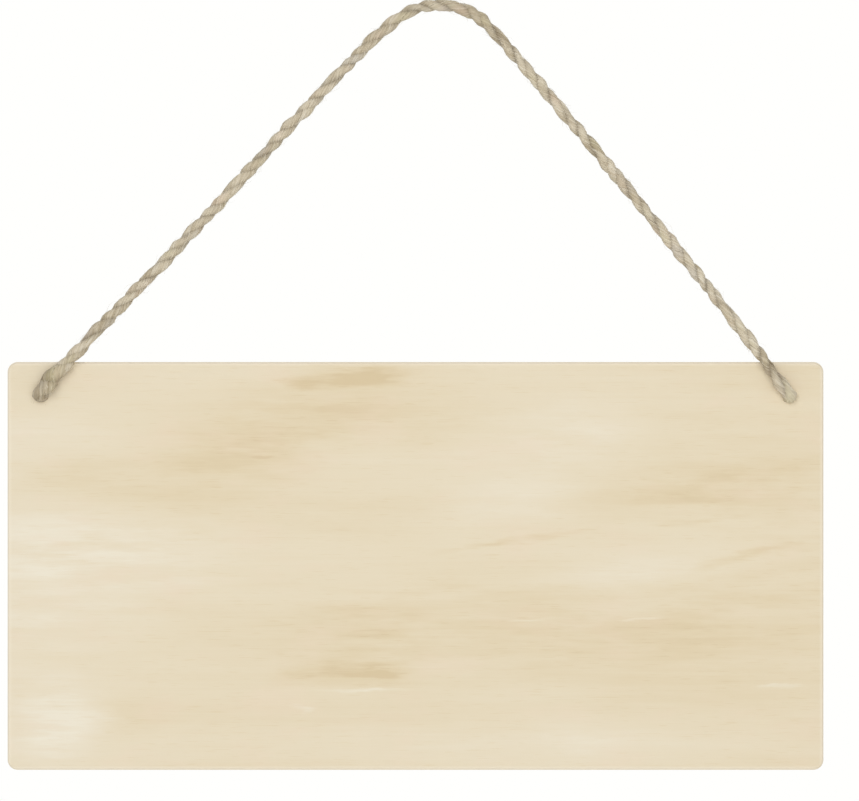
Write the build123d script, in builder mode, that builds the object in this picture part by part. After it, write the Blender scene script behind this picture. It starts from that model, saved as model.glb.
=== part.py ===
from build123d import *
import math
import os

# Hanging plaque: a three-ply board on a loop of twisted cord, knotted behind the board.
# Millimetres, +Z up, +X to the right as seen from the front, the front faces -Y.
# The origin is the hang point, where a peg would touch the underside of the loop's bight.

# Board
board_width = 200.0  # along X
board_height = 100.0  # along Z
veneer_thickness = 0.75  # each face ply
core_thickness = 1.5  # cross-grained middle ply
corner_radius = 2.5  # corners of the outline
rim_ease = 0.4  # sanded bevel round the outside of the face plies
hole_side_inset = 8.5  # hole centre from the side edge
hole_top_inset = 8.2  # hole centre from the top edge

# Cord
cord_diameter = 3.0
cord_sides = 10  # flats of the cord's section
hole_clearance = 0.1  # room around the cord in its hole
face_clearance = 0.3  # room between the loop and the board's front face
bend_share = 0.45  # share of the shorter run that each bend of the loop takes up

# Hang point, measured from the board
hang_height = 85.75  # above the board's top edge
hang_shift = 6.0  # to the right of the board's middle

# Stop knots
knot_gap = 0.52  # room between passes of the knot
knot_ring_ratio = 2.29  # ring radius over winding radius
knot_seat_clearance = 0.25  # between the knot and the board's back face
tail_length = 8.0  # straight end past the knot
left_knot_roll = -28.0  # degrees that the knot leans about its hole
right_knot_roll = 14.0

# Places that follow from these sizes
cord_radius = cord_diameter / 2
hole_radius = cord_radius + hole_clearance
front_face = cord_radius + face_clearance
core_front = front_face + veneer_thickness
core_back = core_front + core_thickness
back_face = core_back + veneer_thickness
board_center_x = -hang_shift
board_top = -hang_height
board_center_z = board_top - board_height / 2
hole_z = board_top - hole_top_inset
left_hole_x = board_center_x - board_width / 2 + hole_side_inset
right_hole_x = board_center_x + board_width / 2 - hole_side_inset

os.makedirs("parts", exist_ok=True)

# Outline of every ply, with the two cord holes
with BuildSketch(Plane.XZ) as ply_outline:
    with Locations((board_center_x, board_center_z)):
        RectangleRounded(board_width, board_height, corner_radius)
    with Locations((left_hole_x, hole_z), (right_hole_x, hole_z)):
        Circle(hole_radius, mode=Mode.SUBTRACT)

# Front face ply, with its front rim eased
with BuildPart() as front_veneer:
    extrude(ply_outline.sketch.moved(Location((0, front_face, 0))), amount=-veneer_thickness)
    chamfer(front_veneer.faces().sort_by(Axis.Y)[0].outer_wire().edges(), rim_ease)
front_veneer.part.label = "front_veneer"

# Middle ply
with BuildPart() as core_ply:
    extrude(ply_outline.sketch.moved(Location((0, core_front, 0))), amount=-core_thickness)
core_ply.part.label = "core_ply"

# Back face ply, with its back rim eased
with BuildPart() as back_veneer:
    extrude(ply_outline.sketch.moved(Location((0, core_back, 0))), amount=-veneer_thickness)
    chamfer(back_veneer.faces().sort_by(Axis.Y)[-1].outer_wire().edges(), rim_ease)
back_veneer.part.label = "back_veneer"

# Route of the loop in the XZ plane, from the left hole over the hang point to the right hole
loop_route = [
    Vector(left_hole_x, 0, hole_z),
    Vector(-81.3, 0, -75.4),
    Vector(-61.0, 0, -54.7),
    Vector(-40.8, 0, -32.5),
    Vector(-21.0, 0, -11.4),
    Vector(-10.4, 0, -1.3),
    Vector(-3.6, 0, cord_radius),
    Vector(3.6, 0, cord_radius),
    Vector(10.3, 0, -1.6),
    Vector(19.7, 0, -12.4),
    Vector(37.2, 0, -33.0),
    Vector(60.1, 0, -60.7),
    Vector(76.3, 0, -81.1),
    Vector(right_hole_x, 0, hole_z),
]


def bend_radii(route):
    radii = []
    for before, corner, after in zip(route, route[1:], route[2:]):
        run_in = corner - before
        run_out = after - corner
        half_turn = math.radians(run_in.get_angle(run_out) / 2)
        shorter_run = min(run_in.length, run_out.length)
        radii.append(bend_share * shorter_run / math.tan(half_turn))
    return radii


# Free loop of cord, with a round end at each hole for the board to swing on
with BuildPart() as hanging_cord:
    with BuildLine() as loop_path:
        FilletPolyline(*loop_route, radius=bend_radii(loop_route))
    loop_wire = loop_path.wire()
    with BuildSketch(Plane(loop_wire @ 0, z_dir=loop_wire % 0)) as loop_section:
        RegularPolygon(cord_radius, cord_sides)
    sweep(path=loop_wire)
    loop_fill = hanging_cord.part.volume / (loop_section.sketch.area * loop_wire.length)
    end_radius = cord_radius * math.cos(math.pi / cord_sides)  # inside the flats
    loop_ends = [
        Plane(loop_wire @ 0, z_dir=-(loop_wire % 0)),
        Plane(loop_wire @ 1, z_dir=loop_wire % 1),
    ]
    with Locations(*loop_ends):
        Sphere(end_radius, arc_size1=0, align=None)
hanging_cord.part.label = "hanging_cord"

print("loop bend radii", [round(radius, 1) for radius in bend_radii(loop_route)])
print("loop length", round(loop_wire.length, 2), "volume over section times length", round(loop_fill, 5))

# Overhand knot: the cord winds three times about a ring while it goes twice along it.
# In the knot's frame x points at the board, y leans up and z is the ring's axis.
winding_radius = (cord_diameter + knot_gap) / 2
ring_radius = knot_ring_ratio * winding_radius
entry_angle = 30.0  # where the cord from the hole comes in over the winding
station_angles = range(45, 316, 30)  # points of the winding that the arcs pass through
body_angles = range(60, 301)  # the winding without its two ends


def winding_point(angle):
    turn = math.radians(angle)
    reach = ring_radius + winding_radius * math.cos(3 * turn)
    return Vector(
        reach * math.cos(2 * turn),
        reach * math.sin(2 * turn),
        winding_radius * math.sin(3 * turn),
    )


def winding_heading(angle):
    step = 0.01
    return (winding_point(angle + step) - winding_point(angle - step)).normalized()


def add_biarc(start, start_heading, end, end_heading):
    chord = end - start
    along = chord.dot(start_heading + end_heading)
    spread = 2 * (1 - start_heading.dot(end_heading))
    reach = (math.sqrt(along**2 + spread * chord.dot(chord)) - along) / spread
    start_corner = start + start_heading * reach
    end_corner = end - end_heading * reach
    middle = (start_corner + end_corner) / 2
    TangentArc(start, middle, tangent=start_heading)
    TangentArc(middle, end, tangent=end_corner - start_corner)


def least_gap(wire):
    count = 300
    points = [wire @ (index / count) for index in range(count + 1)]
    own_bend = 2 * cord_diameter  # along the cord, nearer points belong to the same bend
    skip = math.ceil(own_bend * count / wire.length)
    distances = [
        (points[first] - points[second]).length
        for first in range(count + 1)
        for second in range(first + skip, count + 1)
    ]
    return min(distances) - cord_diameter


entry = winding_point(entry_angle)
board_reach = max(winding_point(angle).X for angle in body_angles)
knot_depth = board_reach + cord_radius + knot_seat_clearance
board_thickness = back_face - front_face
tail_start = Vector(0.43, -2.59, -0.83) * cord_diameter  # past the pass that the end dives under
tail_heading = Vector(-0.2, -1, -0.05).normalized()


def stop_knot(hole_x, roll):
    lean = math.radians(roll)
    up = Vector(math.sin(lean), 0, math.cos(lean))
    ring_axis = Vector(0, -1, 0).cross(up)
    center = Vector(hole_x, back_face + knot_depth, hole_z) - up * entry.Y - ring_axis * entry.Z
    frame = Plane(center, x_dir=(0, -1, 0), z_dir=ring_axis)

    def place(point):
        return frame.from_local_coords(point)

    def aim(direction):
        return frame.from_local_coords(direction) - center

    hole_mouth = Vector(knot_depth + board_thickness, entry.Y, entry.Z)
    hole_back = Vector(knot_depth, entry.Y, entry.Z)
    stations = [(hole_back, Vector(-1, 0, 0))]
    stations += [(winding_point(angle), winding_heading(angle)) for angle in station_angles]
    stations += [(tail_start, tail_heading)]
    with BuildPart() as knot:
        with BuildLine() as knot_path:
            Line(place(hole_mouth), place(hole_back))
            for (start, start_heading), (end, end_heading) in zip(stations, stations[1:]):
                add_biarc(place(start), aim(start_heading), place(end), aim(end_heading))
            Line(place(tail_start), place(tail_start + tail_heading * tail_length))
        knot_wire = knot_path.wire()
        with BuildSketch(Plane(knot_wire @ 0, z_dir=knot_wire % 0)) as section:
            RegularPolygon(cord_radius, cord_sides)
        sweep(path=knot_wire, clean=False)
    fill = knot.part.volume / (section.sketch.area * knot_wire.length)
    tightest = min(edge.radius for edge in knot_wire.edges().filter_by(GeomType.CIRCLE))
    print("knot length", round(knot_wire.length, 2), "least gap", round(least_gap(knot_wire), 2))
    print("knot tightest bend", round(tightest, 2), "volume over section times length", round(fill, 5))
    return knot


left_stop_knot = stop_knot(left_hole_x, left_knot_roll)
left_stop_knot.part.label = "left_stop_knot"
right_stop_knot = stop_knot(right_hole_x, right_knot_roll)
right_stop_knot.part.label = "right_stop_knot"

export_step(front_veneer.part, "parts/front_veneer.step")
export_step(core_ply.part, "parts/core_ply.step")
export_step(back_veneer.part, "parts/back_veneer.step")
export_step(hanging_cord.part, "parts/hanging_cord.step")
export_step(left_stop_knot.part, "parts/left_stop_knot.step")
export_step(right_stop_knot.part, "parts/right_stop_knot.step")
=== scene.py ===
import math
import random
import bmesh
import bpy
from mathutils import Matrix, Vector


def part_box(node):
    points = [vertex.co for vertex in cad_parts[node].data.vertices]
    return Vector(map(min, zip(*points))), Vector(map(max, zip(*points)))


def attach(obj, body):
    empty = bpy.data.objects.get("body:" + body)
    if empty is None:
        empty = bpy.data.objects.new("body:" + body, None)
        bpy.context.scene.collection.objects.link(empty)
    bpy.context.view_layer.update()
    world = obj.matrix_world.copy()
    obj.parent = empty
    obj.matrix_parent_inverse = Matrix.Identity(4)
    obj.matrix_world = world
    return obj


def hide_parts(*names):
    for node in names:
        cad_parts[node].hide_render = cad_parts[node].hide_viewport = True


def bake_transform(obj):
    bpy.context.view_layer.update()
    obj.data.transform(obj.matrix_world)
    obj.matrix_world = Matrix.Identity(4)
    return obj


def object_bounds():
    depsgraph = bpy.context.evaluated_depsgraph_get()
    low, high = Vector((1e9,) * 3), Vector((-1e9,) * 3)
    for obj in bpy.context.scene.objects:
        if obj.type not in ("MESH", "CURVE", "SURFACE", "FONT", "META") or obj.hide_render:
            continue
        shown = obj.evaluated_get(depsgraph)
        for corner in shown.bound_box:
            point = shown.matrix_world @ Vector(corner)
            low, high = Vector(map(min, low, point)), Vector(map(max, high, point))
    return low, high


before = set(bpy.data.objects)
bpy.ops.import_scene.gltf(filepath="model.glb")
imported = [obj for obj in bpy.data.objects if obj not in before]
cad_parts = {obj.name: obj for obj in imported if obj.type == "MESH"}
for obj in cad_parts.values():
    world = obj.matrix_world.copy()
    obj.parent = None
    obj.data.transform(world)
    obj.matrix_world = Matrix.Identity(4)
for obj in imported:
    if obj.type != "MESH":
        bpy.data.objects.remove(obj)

cadBox = [list(corner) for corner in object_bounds()]
mm = 0.001
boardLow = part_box("front_veneer")[0]
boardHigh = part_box("back_veneer")[1]
coreLow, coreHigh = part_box("core_ply")
scene = bpy.context.scene
print("stage: frame loaded")


# Camera, straight on
cameraView = {
    "centre": (-2.57, -95.19),  # X and Z at the middle of the picture, mm
    "width": 210.5,  # of the board's plane across the picture, mm
    "distance": 800.0,  # from the board's face, mm
    "sensor": 36.0,  # mm
}


def makeCamera():
    lens = bpy.data.cameras.new("camera")
    lens.sensor_width = cameraView["sensor"]
    lens.lens = lens.sensor_width * cameraView["distance"] / cameraView["width"]
    camera = bpy.data.objects.new("camera", lens)
    x, z = cameraView["centre"]
    camera.location = (x * mm, boardLow.y - cameraView["distance"] * mm, z * mm)
    camera.rotation_euler = (math.pi / 2, 0, 0)  # level, along +Y
    scene.collection.objects.link(camera)
    scene.camera = camera


# Shader sums
class Wire:  # a node's output, so that shader maths reads as plain sums
    def __init__(self, socket):
        self.socket = socket

    def make(self, kind, settings=None, values=None, out=0):  # any node, in the same tree
        tree = self.socket.id_data
        node = tree.nodes.new(kind)
        for key, value in (settings or {}).items():
            if key == "stops":
                ramp = node.color_ramp.elements
                while len(ramp) < len(value):
                    ramp.new(1)
                for stop, (place, colour) in zip(ramp, value):
                    stop.position, stop.color = place, colour
            else:
                setattr(node, key, value)
        for key, value in (values or {}).items():
            if isinstance(value, Wire):
                tree.links.new(value.socket, node.inputs[key])
            else:
                node.inputs[key].default_value = value
        return Wire(node.outputs[out]) if node.outputs else None

    def sum(self, operation, first, second):
        return self.make("ShaderNodeMath", {"operation": operation}, {0: first, 1: second})

    def __add__(self, other):
        return self.sum("ADD", self, other)

    def __radd__(self, other):
        return self.sum("ADD", other, self)

    def __sub__(self, other):
        return self.sum("SUBTRACT", self, other)

    def __rsub__(self, other):
        return self.sum("SUBTRACT", other, self)

    def __mul__(self, other):
        return self.sum("MULTIPLY", self, other)

    def __rmul__(self, other):
        return self.sum("MULTIPLY", other, self)

    def __abs__(self):
        return self.sum("ABSOLUTE", self, 0.0)


def paint(red, green, blue):  # a colour as a picture shows it, 0 to 255
    def linear(level):
        level /= 255
        return level / 12.92 if level <= 0.04045 else ((level + 0.055) / 1.055) ** 2.4
    return linear(red), linear(green), linear(blue), 1


def startMaterial(name, kind, settings, out):
    material = bpy.data.materials.new(name)
    material.use_nodes = True
    material.node_tree.nodes.clear()
    node = material.node_tree.nodes.new(kind)
    for key, value in settings.items():
        setattr(node, key, value)
    return material, Wire(node.outputs[out])


def stretched(place, scale, shift=(0, 0, 0)):
    return place.make("ShaderNodeMapping", {}, {"Vector": place, "Scale": scale, "Location": shift})


def noise(place, scale, detail=2.0, rough=0.5, shift=(0, 0, 0), out=0):
    values = {"Vector": stretched(place, scale, shift), "Scale": 1, "Detail": detail, "Roughness": rough}
    return place.make("ShaderNodeTexNoise", {}, values, out)


def ease(value, low, high, atLow=0.0, atHigh=1.0):  # a soft step
    values = {"Value": value, "From Min": low, "From Max": high, "To Min": atLow, "To Max": atHigh}
    return value.make("ShaderNodeMapRange", {"interpolation_type": "SMOOTHSTEP"}, values)


def mixed(share, first, second, kind="MIX"):
    settings = {"data_type": "RGBA", "blend_type": kind}
    return share.make("ShaderNodeMix", settings, {0: share, 6: first, 7: second}, out=2)


def tones(value, colours):  # evenly spaced colours from 0 to 1
    stops = [(index / (len(colours) - 1), paint(*colour)) for index, colour in enumerate(colours)]
    return value.make("ShaderNodeValToRGB", {"stops": stops}, {"Fac": value})


# Wood
faceWood = {
    "tones": [(217, 198, 162), (225, 209, 177), (230, 217, 190), (233, 222, 199), (237, 229, 210)],
    "blush": (236, 214, 192),  # faint pinkish patches
    "edge": (217, 196, 158),
    "rim": (241, 231, 212),
    "glue": (164, 128, 88),
    "cloud": 0.55,  # strengths of the figure, from broad to fine
    "streaks": 0.3,
    "fibre": 0.2,
    "pores": 0.16,
    "cloudScale": (10, 60, 38),  # per metre along X, Y and Z
    "streakScale": (7, 300, 210),
    "fibreScale": (26, 1100, 1500),
    "poreScale": (190, 3200, 3600),
    "blushScale": (40, 60, 90),
    "driftScale": (22, 40, 90),
    "drift": (0.03, 0, 0.009),  # how far the marks' outlines wander, metres
    "ragScale": [(14, 200, 130), (55, 300, 420)],  # broad and fine breaks in the marks
    "rimWidth": (0.0003, 0.0012),  # pale sanded rim, metres
    "rimShare": 0.5,
    "roughness": 0.6,
    "bump": 0.22,
    "bumpDepth": 0.00006,  # metres
}
glueWidth = 0.0001  # half of a glue line, metres
# marks on the front: across and down as shares of the board, half sizes in mm, tilt, and strength
frontMarks = [
    (0.0, 0.5, 60, 90, 0, 0.14),
    (1.0, 0.5, 90, 90, 0, -0.12),
    (0.425, 0.03, 22, 6, 2, -0.34),
    (0.455, 0.03, 11, 4.0, 4, -0.26),
    (0.385, 0.06, 8, 2.5, 0, -0.24),
    (0.37, 0.14, 56, 16, 6, -0.2),
    (0.30, 0.21, 36, 12, 8, -0.14),
    (0.20, 0.29, 54, 10, 6, -0.18),
    (0.07, 0.28, 26, 7, 4, -0.18),
    (0.86, 0.315, 44, 11, 2, -0.18),
    (0.90, 0.285, 28, 2.5, 1, -0.08),
    (0.55, 0.555, 50, 2.2, 1, -0.16),
    (0.66, 0.65, 96, 18, 2, -0.2),
    (0.42, 0.66, 26, 14, 0, -0.18),
    (0.425, 0.765, 23, 4.6, 2, -0.4),
    (0.465, 0.755, 9, 3.0, 4, -0.34),
    (0.62, 0.44, 26, 1.3, 9, -0.4),
    (0.84, 0.395, 16, 1.2, 7, -0.22),
    (0.91, 0.48, 22, 1.4, 12, -0.36),
    (0.16, 0.87, 14, 8, 0, -0.12),
    (0.14, 0.465, 62, 15, 0, 0.3),
    (0.06, 0.64, 30, 10, 0, 0.14),
    (0.67, 0.19, 36, 13, 6, 0.28),
    (0.60, 0.355, 28, 13, 4, 0.2),
    (0.78, 0.50, 44, 7, 5, 0.28),
    (0.06, 0.88, 18, 15, 0, 0.34),
    (0.72, 0.91, 18, 6, 0, 0.16),
    (0.50, 0.93, 100, 10, 0, 0.12),
    (0.435, 0.803, 15, 1.1, 1, 0.7),
    (0.645, 0.636, 8, 0.6, 1, 0.36),
    (0.78, 0.626, 7, 0.6, 1, 0.36),
    (0.65, 0.625, 8, 0.8, 2, -0.26),
    (0.945, 0.805, 6, 0.6, 1, 0.36),
    (0.335, 0.855, 4, 0.7, 0, 0.36),
    (0.32, 0.235, 5, 0.9, 3, -0.34),
]
backMarks = [
    (0.30, 0.30, 70, 16, -3, -0.16),
    (0.34, 0.33, 40, 3, -4, -0.16),
    (0.72, 0.70, 80, 14, 3, -0.16),
    (0.66, 0.73, 46, 2.5, 3, -0.18),
    (0.62, 0.20, 44, 16, 4, 0.18),
    (0.16, 0.80, 40, 13, 0, 0.2),
    (0.52, 0.52, 30, 1.6, -3, -0.24),
    (0.84, 0.42, 36, 2.0, 5, -0.2),
    (0.40, 0.87, 30, 1.2, 2, 0.2),
]


def markOn(place, mark):  # one soft streak or patch in the wood
    across, down, halfWidth, halfHeight, tilt, strength = mark
    centre = (
        boardLow.x + across * (boardHigh.x - boardLow.x), 0,
        boardHigh.z - down * (boardHigh.z - boardLow.z),
    )
    local = place.make("ShaderNodeMapping", {"vector_type": "TEXTURE"}, {
        "Vector": place, "Location": centre, "Rotation": (0, math.radians(-tilt), 0),
        "Scale": (halfWidth * mm, 1, halfHeight * mm),
    })
    ball = place.make("ShaderNodeTexGradient", {"gradient_type": "SPHERICAL"}, {"Vector": local}, out=1)
    return ease(ball, 0, 1, 0, strength)


def nearLine(value, line, width):  # 1 on the line, 0 past the width
    return ease(abs(value - line), 0, width, 1, 0)


def faceMaterial(name, marks, shift, glueY):
    material, place = startMaterial(name, "ShaderNodeTexCoord", {}, "Object")
    normal = Wire(material.node_tree.nodes[0].outputs["Normal"])
    drift = noise(place, faceWood["driftScale"], 5.0, 0.62, shift, out=1)
    middled = stretched(place, (1, 1, 1), [-reach / 2 for reach in faceWood["drift"]])
    warped = place.make("ShaderNodeVectorMath", {"operation": "MULTIPLY_ADD"}, {
        0: drift, 1: faceWood["drift"], 2: middled,
    })
    cloud = noise(place, faceWood["cloudScale"], 5.0, 0.62, shift)
    streaks = noise(place, faceWood["streakScale"], 4.0, 0.6, shift)
    fibre = noise(place, faceWood["fibreScale"], 3.0, 0.6, shift)
    pores = ease(noise(place, faceWood["poreScale"], 1.0, 0.5, shift), 0.62, 0.74)
    tone = 0.5 + (cloud - 0.5) * faceWood["cloud"] + (streaks - 0.5) * faceWood["streaks"]
    tone = tone + (fibre - 0.5) * faceWood["fibre"]
    stain = sum(markOn(warped, mark) for mark in marks)
    broad, fine = faceWood["ragScale"]
    broad = ease(noise(place, broad, 4.0, 0.66, shift), 0.34, 0.66)
    fine = ease(noise(place, fine, 3.0, 0.6, shift), 0.36, 0.64)
    ragged = 0.3 + broad * 0.7 + fine * 0.7
    colour = tones(tone + stain * ragged - pores * faceWood["pores"], faceWood["tones"])
    blush = ease(noise(place, faceWood["blushScale"], 3.0, 0.6, (5, 0, 2)), 0.5, 0.75, 0, 0.22)
    colour = mixed(blush, colour, paint(*faceWood["blush"]))

    split = place.make("ShaderNodeSeparateXYZ", {}, {0: place})
    x, y, z = (Wire(split.socket.node.outputs[axis]) for axis in range(3))
    facing = place.make("ShaderNodeSeparateXYZ", {}, {0: normal}, out=1)
    edge = ease(abs(facing), 0.35, 0.75, 1, 0)  # 1 on the cut edges
    inset = place.sum("MINIMUM", place.sum("MINIMUM", x - boardLow.x, boardHigh.x - x),
                      place.sum("MINIMUM", z - boardLow.z, boardHigh.z - z))
    rim = ease(inset, *faceWood["rimWidth"], faceWood["rimShare"], 0)
    colour = mixed(rim, colour, paint(*faceWood["rim"]))
    colour = mixed(edge * (0.55 + fibre * 0.5), colour, paint(*faceWood["edge"]))
    colour = mixed(edge * nearLine(y, glueY, glueWidth), colour, paint(*faceWood["glue"]))
    relief = fibre * 0.6 - pores * 0.5 + streaks * 0.2
    bump = place.make("ShaderNodeBump", {}, {
        "Strength": faceWood["bump"], "Distance": faceWood["bumpDepth"], "Height": relief,
    })
    shader = place.make("ShaderNodeBsdfPrincipled", {}, {
        "Base Color": colour, "Roughness": faceWood["roughness"] + fibre * 0.2 + pores * 0.1,
        "Normal": bump, "Specular IOR Level": 0.25,
    })
    place.make("ShaderNodeOutputMaterial", {}, {"Surface": shader})
    return material


coreWood = {
    "tones": [(186, 157, 118), (208, 183, 145), (221, 201, 165), (230, 213, 180)],
    "glue": (160, 124, 84),
    "ringScale": (240, 900, 12),  # per metre along X, Y and Z: the grain runs up and down
    "fibreScale": (2200, 2600, 40),
    "poreScale": (4200, 4600, 260),
    "roughness": 0.68,
    "bump": 0.4,
    "bumpDepth": 0.0001,  # metres
}


def coreMaterial():
    material, place = startMaterial("coreWood", "ShaderNodeTexCoord", {}, "Object")
    y = place.make("ShaderNodeSeparateXYZ", {}, {0: place}, out=1)
    ring = noise(place, coreWood["ringScale"], 2.0, 0.5)
    fibre = noise(place, coreWood["fibreScale"], 3.0, 0.65)
    pore = ease(noise(place, coreWood["poreScale"], 1.0), 0.6, 0.72)
    colour = tones(ring * 0.5 + fibre * 0.55 - pore * 0.2, coreWood["tones"])
    glue = nearLine(y, coreLow.y, glueWidth) + nearLine(y, coreHigh.y, glueWidth)
    colour = mixed(glue, colour, paint(*coreWood["glue"]))
    bump = place.make("ShaderNodeBump", {}, {
        "Strength": coreWood["bump"], "Distance": coreWood["bumpDepth"], "Height": fibre - pore,
    })
    shader = place.make("ShaderNodeBsdfPrincipled", {}, {
        "Base Color": colour, "Roughness": coreWood["roughness"] + fibre * 0.2, "Normal": bump,
        "Specular IOR Level": 0.2,
    })
    place.make("ShaderNodeOutputMaterial", {}, {"Surface": shader})
    return material


def dress(node, material):
    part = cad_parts[node]
    part.data.materials.clear()
    part.data.materials.append(material)


# Jute twine
twine = {
    "diameter": 3.0,  # lengths in mm
    "pitch": 10.0,  # one turn of the lay
    "strandRadius": 1.04,
    "layRadius": 0.46,  # of the strands' middles about the cord's line
    "bundles": 8,  # fibre bundles round a strand
    "bundleDepth": 0.1,
    "yarnTurn": -1.2,  # twist of a strand's own fibres, over the twist of the lay
    "slub": 0.15,  # thick and thin places, as a share of the radius
    "slubWaves": (4, 26),  # shortest and longest
    "spread": 0.12,  # strands closer and further apart, as a share of the lay's radius
    "spreadWaves": (6, 20),
    "wander": 0.7,  # uneven lay, in radians
    "wanderWaves": (9, 40),
    "strandWander": 0.25,  # what each strand adds to that
    "strandWaves": (12, 40),
    "step": 0.45,  # between rings of a strand
    "fibresPerMm": 3.0,  # fibres that lie on the strands
    "fibreRadius": (0.03, 0.07),
    "fibreLength": (4.0, 13.0),
    "fibreRise": 1.8,  # how far a fibre's loose end stands off
    "fibreTone": (0.02, 0.28),  # middle and spread
    "hairsPerMm": 7.0,  # loose hairs
    "hairRadius": 0.018,
    "hairLength": (1.0, 4.5),
    "hairReach": 2.4,  # from the cord's line
    "hairCurl": 0.22,
    "frayLength": (2.5, 6.5),  # loose fibres at a cut end
    "frayRadius": 0.05,
    "frayCurl": 0.12,
    "woodGap": 0.05,  # between the cord and the wood
    "tones": [(124, 108, 82), (188, 174, 147), (219, 208, 185), (242, 236, 220)],
    "patches": [(198, 190, 148), (192, 188, 180), (210, 184, 164)],  # olive, grey and pinkish lengths
    # colour of the painted shade between the strands
    "shade": (102, 88, 66),
    "fibreScale": (70, 2600, 2600),  # per metre along and across a strand
    "fineScale": (160, 7000, 7000),
    "bundleScale": (120, 900, 900),
    "lengthScale": (64, 60, 60),
    "patchScale": (66, 90, 90),
    "bump": 0.6,
    "bumpDepth": 0.00012,  # metres
}
holeRadius = 1.6
holeInset = {"side": 8.5, "top": 8.2}  # of a hole's middle, from the edges of the board
holeZ = boardHigh.z / mm - holeInset["top"]
leftHole = Vector((boardLow.x / mm + holeInset["side"], 0, holeZ))
rightHole = Vector((boardHigh.x / mm - holeInset["side"], 0, holeZ))
loopRoute = [  # from inside the left hole, over the hang point, into the right hole
    (-97.5, 3.2, -93.95),
    (-97.5, 1.5, -93.95),
    (-98.4, 0.0, -94.3),
    (-97.1, -0.2, -92.7),
    (-94.6, 0.0, -89.5),
    (-81.3, 0.0, -75.4),
    (-61.0, 0.0, -54.7),
    (-40.8, 0.0, -32.5),
    (-21.0, 0.0, -11.4),
    (-10.4, 0.0, -1.3),
    (-3.6, 0.0, 1.5),
    (3.6, 0.0, 1.5),
    (10.3, 0.0, -1.6),
    (19.7, 0.0, -12.4),
    (37.2, 0.0, -33.0),
    (60.1, 0.0, -60.7),
    (76.3, 0.0, -81.1),
    (81.9, 0.0, -89.1),
    (84.6, 0.0, -92.6),
    (85.6, 0.1, -94.2),
    (85.5, 1.5, -93.95),
    (85.5, 3.2, -93.95),
]
# mm from an end, then shares of the strands' radius, of the lay's radius and of its twist, and a tone
loopLeft = [(0, 1.5, 0.2, 0.3, -0.06), (1.6, 1.5, 0.3, 0.4, -0.06), (3.4, 1.55, 0.6, 0.8, -0.17),
            (6.5, 1.8, 0.75, 1.0, -0.29), (9.5, 1.7, 0.8, 1.0, -0.28), (13.0, 1.1, 1.0, 1.0, -0.03),
            (17.0, 1.0, 1.0, 1.0, -0.06),
            (23.0, 1.0, 1.0, 1.0, 0), (27.0, 1.14, 1.1, 1.0, -0.16), (31.0, 1.0, 1.0, 1.0, 0),
            # the darker tone 118 to 138 mm from this end is painted shade near the top of the loop
            (118.0, 1.0, 1.0, 1.0, 0), (128.0, 1.0, 1.0, 1.0, -0.17), (138.0, 1.0, 1.0, 1.0, 0)]
loopRight = [(0, 1.5, 0.2, 0.2, -0.1), (1.6, 1.55, 0.3, 0.2, -0.1), (4.5, 1.14, 0.9, 0.5, 0.08),
             (8.0, 1.12, 1.1, 0.9, -0.03), (12.0, 0.86, 0.85, 1.0, -0.3), (16.0, 1.0, 1.0, 1.0, 0.04),
             # the darker tone 112 to 132 mm from this end is painted shade near the top of the loop
             (112.0, 1.0, 1.0, 1.0, 0), (122.0, 1.0, 1.0, 1.0, -0.2), (132.0, 1.0, 1.0, 1.0, 0)]
knotStart = [(0, 1.5, 0.2, 0.3, 0), (3.2, 1.5, 0.3, 0.4, 0), (6.0, 0.98, 0.95, 1.0, 0)]
knotTail = [(0, 0.6, 1.6, 0.5, 0), (1.4, 1.0, 1.5, 0.6, 0), (4.0, 1.06, 1.25, 0.8, 0),
            (8.0, 1.0, 1.0, 1.0, 0)]


def newCurve(name):
    curve = bpy.data.curves.new(name, "CURVE")
    curve.dimensions = "3D"
    return curve


def addSpline(curve, kind, points):
    spline = curve.splines.new(kind)
    spline.points.add(len(points) - 1)
    for control, point in zip(spline.points, points):
        control.co = (*point, 1)
    return spline


def meshOf(curve):  # the curve's own mesh, and the curve goes
    holder = bpy.data.objects.new(curve.name, curve)
    scene.collection.objects.link(holder)
    mesh = bpy.data.meshes.new_from_object(holder.evaluated_get(bpy.context.evaluated_depsgraph_get()))
    bpy.data.objects.remove(holder)
    bpy.data.curves.remove(curve)
    return mesh


def smoothLine(name, controls, step):  # evenly spaced points of the route's smooth spline
    curve = newCurve(name)
    spline = addSpline(curve, "NURBS", controls)
    spline.order_u = 3
    spline.use_endpoint_u = True
    curve.resolution_u = 48
    mesh = meshOf(curve)
    read = [vertex.co.copy() for vertex in mesh.vertices]
    bpy.data.meshes.remove(mesh)
    line, behind, due = [read[0]], 0.0, step
    for first, second in zip(read, read[1:]):
        span = (second - first).length
        while span and behind + span >= due:
            line.append(first.lerp(second, (due - behind) / span))
            due += step
        behind += span
    return line


def layFrames(line):  # heading, side and third direction at each point, turning as little as possible
    headings = [(after - before).normalized() for before, after in zip(line, line[1:])]
    headings.append(headings[-1])
    side = headings[0].orthogonal().normalized()
    frames = []
    for before, heading in zip([headings[0]] + headings, headings):
        side = before.rotation_difference(heading) @ side
        side = (side - heading * side.dot(heading)).normalized()
        frames.append((heading, side, heading.cross(side)))
    return frames


def unevenness(dice, lengths):  # a slow random wave along the cord, about -1 to 1
    shortest, longest = (length * mm for length in lengths)
    waves = [(math.tau / dice.uniform(shortest, longest), dice.uniform(0, math.tau)) for _ in range(4)]
    usualPeak = 2.4  # of the four together
    return lambda along: sum(math.sin(along * rate + start) for rate, start in waves) / usualPeak


def between(stops, place):  # straight lines through the stops
    for (first, *low), (second, *high) in zip(stops, stops[1:]):
        if place <= second:
            share = max(0, place - first) / (second - first)
            return [start + (end - start) * share for start, end in zip(low, high)]
    return stops[-1][1:]


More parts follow.
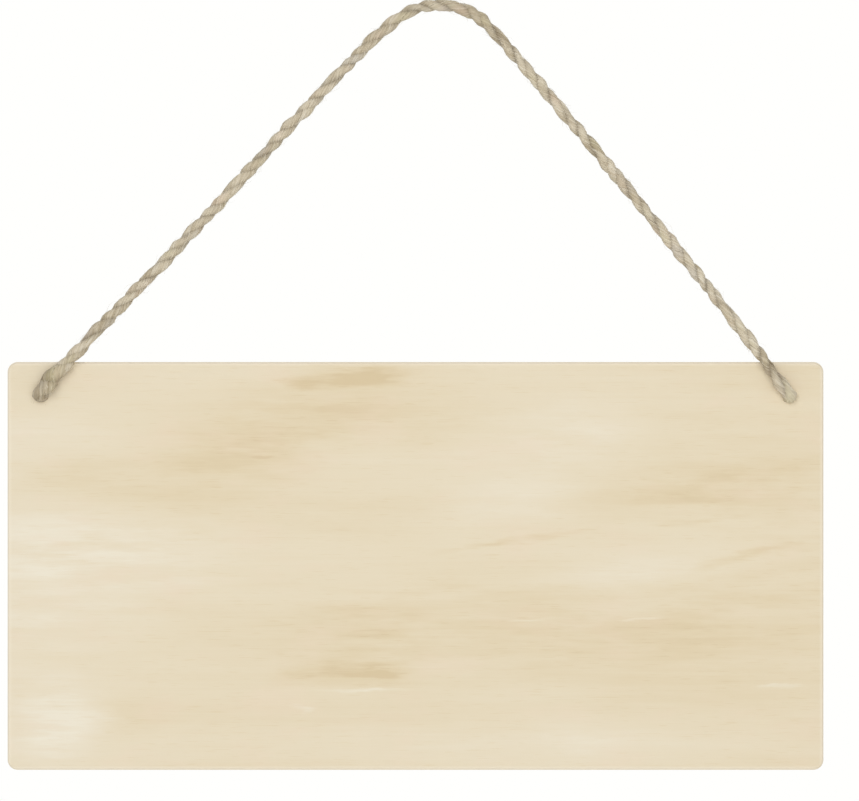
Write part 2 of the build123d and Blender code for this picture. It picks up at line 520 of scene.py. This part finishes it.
def strandProfile(dice):  # section of one strand, with the uneven ridges of its fibre bundles
    curve = newCurve("strandProfile")
    curve.dimensions = "2D"
    points = []
    for bundle in range(twine["bundles"]):
        proud = 1 + twine["bundleDepth"] * dice.uniform(-0.2, 1.0)
        for share, rim in ((0, 1 - twine["bundleDepth"]), (0.33, proud), (0.67, proud)):
            turn = math.tau * (bundle + share) / twine["bundles"]
            points.append((rim * math.cos(turn), rim * math.sin(turn), 0))
    addSpline(curve, "POLY", points).use_cyclic_u = True
    profile = bpy.data.objects.new("strandProfile", curve)
    scene.collection.objects.link(profile)
    return profile


def tag(mesh, straights, depths, shades):  # place on the straightened strand, how far out, and own tone, which near the top of the loop also holds a painted shade
    mesh.attributes.new("straight", "FLOAT_VECTOR", "POINT").data.foreach_set(
        "vector", [value for straight in straights for value in straight])
    mesh.attributes.new("depth", "FLOAT", "POINT").data.foreach_set("value", depths)
    mesh.attributes.new("shade", "FLOAT", "POINT").data.foreach_set("value", shades)


def strandMesh(profile, line, frames, phases, shapes, dice):
    slub = unevenness(dice, twine["slubWaves"])
    apart = unevenness(dice, twine["spreadWaves"])
    spots, radii = [], []
    for index, (point, (_, side, third), phase, (grow, spread, *_)) in enumerate(
            zip(line, frames, phases, shapes)):
        along = index * twine["step"] * mm
        lay = twine["layRadius"] * mm * spread * (1 + twine["spread"] * apart(along))
        spots.append(point + (side * math.cos(phase) + third * math.sin(phase)) * lay)
        radii.append(twine["strandRadius"] * mm * grow * (1 + twine["slub"] * slub(along)))
    curve = newCurve("strand")
    spline = addSpline(curve, "POLY", spots)
    for control, radius, phase in zip(spline.points, radii, phases):
        control.radius, control.tilt = radius, twine["yarnTurn"] * phase
    curve.twist_mode = "MINIMUM"
    curve.bevel_mode = "OBJECT"
    curve.bevel_object = profile
    mesh = meshOf(curve)
    sides = len(profile.data.splines[0].points)
    shift = dice.uniform(0, 5)  # so that no two strands share a pattern
    straights, depths, shades, rings = [], [], [], []
    for index, (point, radius, (grow, spread, _, tone)) in enumerate(zip(line, radii, shapes)):
        ring = [vertex.co.copy() for vertex in mesh.vertices[index * sides:(index + 1) * sides]]
        full = (twine["strandRadius"] * grow + twine["layRadius"] * spread) * mm
        for place, spot in enumerate(ring):
            around = math.tau * place / sides
            straights.append((index * twine["step"] * mm + shift,
                              radius * math.cos(around), radius * math.sin(around)))
            depths.append((spot - point).length / full)
        shades += [tone] * sides
        rings.append(ring)
    tag(mesh, straights, depths, shades)
    return mesh, spots, rings


def addFibre(curve, dice, rings, spots):  # lies on its strand and lifts off at one end
    reach = round(dice.uniform(*twine["fibreLength"]) / twine["step"])
    first, way = dice.randrange(len(rings)), dice.choice((-2, 2))  # every second ring
    place, drift = dice.uniform(0, len(rings[0])), dice.uniform(-0.15, 0.15)
    rise = twine["fibreRise"] * dice.random() ** 3
    points = []
    for index in range(first, first + way * reach // 2, way):
        if 0 <= index < len(rings):
            place += drift
            skin = rings[index][round(place) % len(rings[0])]
            share = abs(index - first) / reach
            lift = 1.02 + rise * max(0, share - 0.5) ** 2  # just proud, then free in its second half
            points.append(spots[index] + (skin - spots[index]) * lift)
    if len(points) > 3:
        radius = dice.uniform(*twine["fibreRadius"]) * mm
        for index, control in enumerate(addSpline(curve, "POLY", points).points):
            control.radius = radius * (1.0 - 0.6 * index / len(points))  # thinner to its end


def addHair(curve, dice, start, aim, length, radius, curl, near):  # near: points of the cord's line
    steps = 4
    hold = twine["hairReach"] * mm
    points, spot = [start], start
    for _ in range(steps):
        aim = (aim + Vector([dice.gauss(0, curl) for _ in range(3)])).normalized()
        spot = spot + aim * length / steps
        middle = min(near, key=lambda point: (point - spot).length)
        away = spot - middle
        spot = middle + away * hold / max(away.length, hold)
        points.append(spot)
    for index, control in enumerate(addSpline(curve, "POLY", points).points):
        control.radius = radius * (1 - 0.17 * index)  # thinner to its end


def addHairs(curve, dice, line, frames, rings, spots):  # loose hairs all along one strand
    nearby = 14  # points of the line each way
    length = twine["step"] * (len(line) - 1)
    for _ in range(round(length * twine["hairsPerMm"] / 2)):
        index = dice.randrange(len(spots))
        heading = frames[index][0]
        skin = dice.choice(rings[index])
        out = (skin - spots[index]).normalized()
        aim = heading * dice.choice((-1, 1)) + out * dice.uniform(0.05, 0.5)
        size = twine["hairRadius"] * mm * dice.uniform(0.6, 1.3)
        reach = dice.uniform(*twine["hairLength"]) * mm * dice.uniform(0.4, 1)
        near = line[max(0, index - nearby):index + nearby]
        addHair(curve, dice, skin, aim, reach, size, twine["hairCurl"], near)


def addFray(curve, dice, end, heading, ring, spot, count):  # loose fibres at the cut end of one strand
    beyond = [end + heading * ahead * mm for ahead in range(-4, 9)]
    for _ in range(count):
        out = dice.choice(ring) - spot
        aim = heading + out.normalized() * dice.uniform(0.0, 0.6)
        skin = spot + out * math.sqrt(dice.random()) * 0.9 - heading * 1.0 * mm  # from inside the strand
        reach = dice.uniform(*twine["frayLength"]) * mm
        addHair(curve, dice, skin, aim, reach, twine["frayRadius"] * mm, twine["frayCurl"], beyond)


hairCorners = 4  # round each point of a fibre or hair


def fuzzMesh(curve, dice):  # all the fibres and hairs, and how many points each has
    curve.bevel_depth = 1
    curve.bevel_resolution = 0
    counts = [len(spline.points) * hairCorners for spline in curve.splines]
    mesh = meshOf(curve)
    straights, shades = [], []
    for count in counts:
        straights += [(dice.uniform(0, 9), dice.uniform(-1, 1) * mm, dice.uniform(-1, 1) * mm)] * count
        shades += [dice.gauss(*twine["fibreTone"])] * count
    tag(mesh, straights, [1.0] * len(shades), shades)
    return mesh, counts


# Map the twine is baked through: strips of the strands, and above them a square for each hair
bakeMap = {
    "name": "OFBake",
    "strandShare": 0.75,  # of the map's height, about
    "girth": 15,  # rings that are as long as a strand is round
    "stripMargin": 0.04,  # of a strip's height
    "hairMargin": 0.25,  # of a square
}


def inside(share, margin):  # from one edge of a field to the other, clear of both
    return margin + (1 - 2 * margin) * share


def layForBake(cord, rings, sides, hairs):  # rings of a strand, points of a ring and points of each hair
    layer = cord.loops.layers.uv.new(bakeMap["name"])
    share = bakeMap["strandShare"]
    strips = max(1, round(math.sqrt(share * rings / (2 * bakeMap["girth"]))))  # of each strand
    run = math.ceil((rings - 1) / strips)  # rings along a strip
    squares = math.ceil(math.sqrt(len(hairs) / (1 - share)))  # in a row
    top = 1 - math.ceil(len(hairs) / squares) / squares  # of the strips
    owners = []  # hair, ring and corner of each point
    for hair, count in enumerate(hairs):
        owners += [(hair, *divmod(point, hairCorners)) for point in range(count)]
    strandSize = rings * sides
    cord.verts.index_update()
    for face in cord.faces:
        strand = min(vertex.index for vertex in face.verts) // strandSize
        if strand > 1:  # past both strands, so a hair
            for loop in face.loops:
                hair, ring, corner = owners[loop.vert.index - 2 * strandSize]
                row, column = divmod(hair, squares)
                across = column + inside(corner % 2, bakeMap["hairMargin"])
                up = row + inside(ring % 2, bakeMap["hairMargin"])
                loop[layer].uv = (across / squares, top + up / squares)
            continue
        spots = [divmod(vertex.index - strand * strandSize, sides) for vertex in face.verts]
        strip = min(min(ring for ring, _ in spots) // run, strips - 1)
        closing = {0, sides - 1} <= {place for _, place in spots}  # from the last side back to the first
        for loop, (ring, place) in zip(face.loops, spots):
            around = sides if closing and place == 0 else place
            across = inside((ring - strip * run) / run, bakeMap["stripMargin"])
            up = strand * strips + strip + inside(around / sides, bakeMap["stripMargin"])
            loop[layer].uv = (across, top * up / (2 * strips))


def cordShapes(line, start, end):  # shares and tone at each point, from the stops at both ends
    length = twine["step"] * (len(line) - 1)
    shapes = []
    for index in range(len(line)):
        along = index * twine["step"]
        *near, nearTone = between(start, along)
        *far, farTone = between(end, length - along)
        shapes.append([low * high for low, high in zip(near, far)] + [nearTone + farTone])
    return shapes


def layPhases(frames, shapes, wander, level):  # turn of the lay at each point
    rate = math.tau * twine["step"] / twine["pitch"]
    phases, phase = [], 0.0
    for index, (_, _, twist, _) in enumerate(shapes):
        phase += rate * twist
        phases.append(phase + twine["wander"] * wander(index * twine["step"] * mm))
    index = round(level / twine["step"])  # here the strands lie side by side on the board
    _, side, third = frames[index]
    turn = math.atan2(-side.y, third.y) - phases[index]
    return [phase + turn for phase in phases]


def keepOff(cord, front):  # out of the wood: in a hole, or else off the face
    gap = twine["woodGap"] * mm
    for vertex in cord.verts:
        if vertex.co.z > boardHigh.z:
            continue
        depth = vertex.co.y - boardLow.y if front else boardHigh.y - vertex.co.y
        if depth < -gap:
            continue
        for hole in (leftHole, rightHole):
            middle = Vector((hole.x * mm, vertex.co.y, hole.z * mm))
            out = vertex.co - middle
            if out.length < 1.5 * holeRadius * mm:  # near enough to go through the hole
                vertex.co = middle + out * min(1, holeRadius * mm / max(out.length, 0.1 * mm))
                break
        else:
            vertex.co.y = boardLow.y - gap if front else boardHigh.y + gap


def addMesh(cord, mesh):
    cord.from_mesh(mesh)
    bpy.data.meshes.remove(mesh)


def twistedCord(name, controls, start, end, level, seed, material, front, fray=0):
    dice = random.Random(seed)
    line = smoothLine(name, [Vector(point) * mm for point in controls], twine["step"] * mm)
    frames = layFrames(line)
    length = twine["step"] * (len(line) - 1)
    shapes = cordShapes(line, start, end)
    phases = layPhases(frames, shapes, unevenness(dice, twine["wanderWaves"]), level)
    cord = bmesh.new()
    fuzz = newCurve("fuzz")
    for strand in range(2):
        profile = strandProfile(dice)
        wander = unevenness(dice, twine["strandWaves"])
        turns = [phase + strand * math.pi + twine["strandWander"] * wander(index * twine["step"] * mm)
                 for index, phase in enumerate(phases)]
        mesh, spots, rings = strandMesh(profile, line, frames, turns, shapes, dice)
        addMesh(cord, mesh)
        bpy.data.curves.remove(profile.data)
        for _ in range(round(length * twine["fibresPerMm"] / 2)):
            addFibre(fuzz, dice, rings, spots)
        addHairs(fuzz, dice, line, frames, rings, spots)
        addFray(fuzz, dice, line[-1], frames[-1][0], rings[-1], spots[-1], fray)
    mesh, hairs = fuzzMesh(fuzz, dice)
    addMesh(cord, mesh)
    bmesh.ops.holes_fill(cord, edges=[edge for edge in cord.edges if edge.is_boundary], sides=0)
    bmesh.ops.recalc_face_normals(cord, faces=cord.faces)
    layForBake(cord, len(line), len(rings[0]), hairs)
    keepOff(cord, front)
    for face in cord.faces:
        face.smooth = True
    mesh = bpy.data.meshes.new(name)
    cord.to_mesh(mesh)
    cord.free()
    mesh.materials.append(material)
    piece = bpy.data.objects.new(name, mesh)
    scene.collection.objects.link(piece)
    print("stage:", name, "built,", len(mesh.polygons), "faces, line", round(length, 1), "mm")
    return piece, line


def juteMaterial():
    named = {"attribute_name": "straight"}
    material, straight = startMaterial("jute", "ShaderNodeAttribute", named, "Vector")
    depth = straight.make("ShaderNodeAttribute", {"attribute_name": "depth"}, out="Fac")
    shade = straight.make("ShaderNodeAttribute", {"attribute_name": "shade"}, out="Fac")
    fibre = noise(straight, twine["fibreScale"], 3.0, 0.6)
    fine = noise(straight, twine["fineScale"], 2.0, 0.6)
    bundle = noise(straight, twine["bundleScale"], 2.0, 0.55)
    lengthwise = noise(straight, twine["lengthScale"], 2.0, 0.5, (3, 0, 0))
    tone = 0.1 + fibre * 0.5 + fine * 0.4 + (bundle - 0.5) * 0.9 + (lengthwise - 0.5) * 0.9
    colour = tones(tone + shade, twine["tones"])
    for index, patch in enumerate(twine["patches"]):
        spread = noise(straight, twine["patchScale"], 1.0, 0.5, (11 * index + 5, 0, 0))
        colour = mixed(ease(spread, 0.52, 0.7, 0, 0.4), colour, paint(*patch))
    grooveShade = ease(depth, 0.45, 1.0, 0.62, 0)  # painted shade: darker between the strands and towards the cord's middle
    colour = mixed(grooveShade, colour, paint(*twine["shade"]))
    bump = straight.make("ShaderNodeBump", {}, {
        "Strength": twine["bump"], "Distance": twine["bumpDepth"], "Height": fibre + fine * 0.5,
    })
    shader = straight.make("ShaderNodeBsdfPrincipled", {}, {
        "Base Color": colour, "Roughness": 0.75 + fine * 0.2, "Normal": bump,
        "Specular IOR Level": 0.2, "Sheen Weight": 0.15, "Sheen Roughness": 0.5,
    })
    straight.make("ShaderNodeOutputMaterial", {}, {"Surface": shader})
    return material


# Stop knots behind the board, each an overhand knot with a cut tail
stopKnot = {
    "gap": 0.52,  # lengths in mm
    "ringRatio": 2.29,  # ring radius over winding radius
    "seat": 0.25,  # off the board's back
    "mouth": 0.2,  # where the cord starts, inside the front of its hole
    "entryAngle": 30,
    "bodyAngles": range(60, 301),  # the winding without its two ends
    "stationAngles": range(40, 321, 10),
    "tailStart": (0.43, -2.59, -0.83),  # in cord diameters
    "tailHeading": (-0.2, -1, -0.05),
    "tailLength": 8.0,
    "tailBow": (0, 0, 0.5),
    "leftRoll": -28,
    "rightRoll": 14,
    "fray": 64,  # loose fibres at the end of each strand
}


def windingPoint(angle):  # three turns about a ring while going twice along it
    turn = math.radians(angle)
    winding = (twine["diameter"] + stopKnot["gap"]) / 2
    reach = winding * (stopKnot["ringRatio"] + math.cos(3 * turn))
    return Vector((reach * math.cos(2 * turn), reach * math.sin(2 * turn), winding * math.sin(3 * turn)))


def knotRoute(hole, roll):
    lean = math.radians(roll)
    up = Vector((math.sin(lean), 0, math.cos(lean)))
    toBoard = Vector((0, -1, 0))
    ringAxis = toBoard.cross(up)
    entry = windingPoint(stopKnot["entryAngle"])
    faceY, backY = boardLow.y / mm, boardHigh.y / mm
    depth = max(windingPoint(angle).x for angle in stopKnot["bodyAngles"])
    depth += twine["diameter"] / 2 + stopKnot["seat"]
    centre = Vector((hole.x, backY + depth, hole.z)) - up * entry.y - ringAxis * entry.z
    tailStart = Vector(stopKnot["tailStart"]) * twine["diameter"]
    tailEnd = tailStart + Vector(stopKnot["tailHeading"]).normalized() * stopKnot["tailLength"]
    stations = [Vector((depth, entry.y, entry.z))]
    stations += [windingPoint(angle) for angle in stopKnot["stationAngles"]]
    stations += [tailStart, tailStart.lerp(tailEnd, 0.5) + Vector(stopKnot["tailBow"]), tailEnd]
    route = [Vector((hole.x, faceY + stopKnot["mouth"], hole.z))]
    route += [centre + toBoard * spot.x + up * spot.y + ringAxis * spot.z for spot in stations]
    return route


# Studio
studio = {
    "ambient": 0.5,
    "white": (1, 1, 0.985, 1),  # what the camera sees behind the object
    "floorDrop": 0.22,  # below the board, metres
    "floorRadius": 1.5,
    "floorFade": (0.25, 0.8),  # where it turns white, as shares of the radius
    "lamps": [  # place, size and watts
        ((-0.45, -1.7, 0.5), 1.2, 9.8),
        ((0.55, -1.7, 0.05), 1.2, 5.9),
        ((0.3, 1.5, 0.9), 1.0, 15.0),
    ],
}


def plainlySeen(wire):  # 1 for the camera, also in mirrors and through glass
    seen, mirrored, through = (wire.make("ShaderNodeLightPath", out=name) for name in
                               ("Is Camera Ray", "Is Glossy Ray", "Is Transmission Ray"))
    return wire.sum("MAXIMUM", seen, wire.sum("MAXIMUM", mirrored, through))


def makeStudio():
    world = bpy.data.worlds.new("studio")
    world.use_nodes = True
    world.node_tree.nodes.clear()
    scene.world = world
    soft = Wire(world.node_tree.nodes.new("ShaderNodeBackground").outputs[0])
    soft.socket.node.inputs["Strength"].default_value = studio["ambient"]
    soft.socket.node.inputs["Color"].default_value = (1, 1, 1, 1)
    white = soft.make("ShaderNodeBackground", {}, {"Color": studio["white"], "Strength": 1.0})
    both = soft.make("ShaderNodeMixShader", {}, {0: plainlySeen(soft), 1: soft, 2: white})
    soft.make("ShaderNodeOutputWorld", {}, {"Surface": both})
    aim = (Vector(cadBox[0]) + Vector(cadBox[1])) / 2
    for index, (place, size, watts) in enumerate(studio["lamps"]):
        lamp = bpy.data.lights.new("softbox%d" % index, "AREA")
        lamp.shape, lamp.size, lamp.energy = "DISK", size, watts
        holder = bpy.data.objects.new(lamp.name, lamp)
        holder.location = place
        holder.rotation_euler = (aim - Vector(place)).to_track_quat("-Z", "Y").to_euler()
        scene.collection.objects.link(holder)


def floorMaterial():
    material, place = startMaterial("paleFloor", "ShaderNodeTexCoord", {}, "Object")
    far = place.make("ShaderNodeVectorMath", {"operation": "LENGTH"}, {0: place}, out=1)
    speck = noise(place, (30, 30, 30), 2.0)
    paper = place.make("ShaderNodeBsdfPrincipled", {}, {
        "Base Color": tones(speck, [(240, 240, 238), (244, 244, 242)]), "Roughness": 0.8,
        "Specular IOR Level": 0.1,
    })
    white = place.make("ShaderNodeEmission", {}, {"Color": studio["white"], "Strength": 1.0})
    fade = ease(far, *(share * studio["floorRadius"] for share in studio["floorFade"]))
    both = place.make("ShaderNodeMixShader", {}, {0: fade * plainlySeen(place), 1: paper, 2: white})
    place.make("ShaderNodeOutputMaterial", {}, {"Surface": both})
    return material


def makeFloor():
    disc = bmesh.new()
    bmesh.ops.create_circle(disc, cap_ends=True, segments=96, radius=studio["floorRadius"])
    bmesh.ops.translate(disc, verts=disc.verts, vec=(0, 0, boardLow.z - studio["floorDrop"]))
    mesh = bpy.data.meshes.new("floor")
    disc.to_mesh(mesh)
    disc.free()
    mesh.materials.append(floorMaterial())
    floor = bpy.data.objects.new("floor", mesh)
    scene.collection.objects.link(floor)


makeCamera()
makeStudio()
makeFloor()
scene.view_settings.view_transform = "Standard"
print("stage: camera, lamps and floor set")

dress("front_veneer", faceMaterial("frontFace", frontMarks, (0.0, 0.0, 0.0), coreLow.y))
dress("back_veneer", faceMaterial("backFace", backMarks, (3.1, 0.0, 1.7), coreHigh.y))
dress("core_ply", coreMaterial())
print("stage: plies finished")

jute = juteMaterial()
loop, loopLine = twistedCord("hangingTwine", loopRoute, loopLeft, loopRight, level=8.0, seed=14,
                             material=jute, front=True)
for name, node, hole, roll, seed in (
    ("leftKnot", "left_stop_knot", leftHole, stopKnot["leftRoll"], 31),
    ("rightKnot", "right_stop_knot", rightHole, stopKnot["rightRoll"], 33),
):
    route = knotRoute(hole, roll)
    piece, _ = twistedCord(name, route, knotStart, knotTail, level=0.0, seed=seed,
                           material=jute, front=False, fray=stopKnot["fray"])
    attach(piece, "plaque")
    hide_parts(node)
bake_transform(loop)
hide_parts("hanging_cord")

print("stage: done")
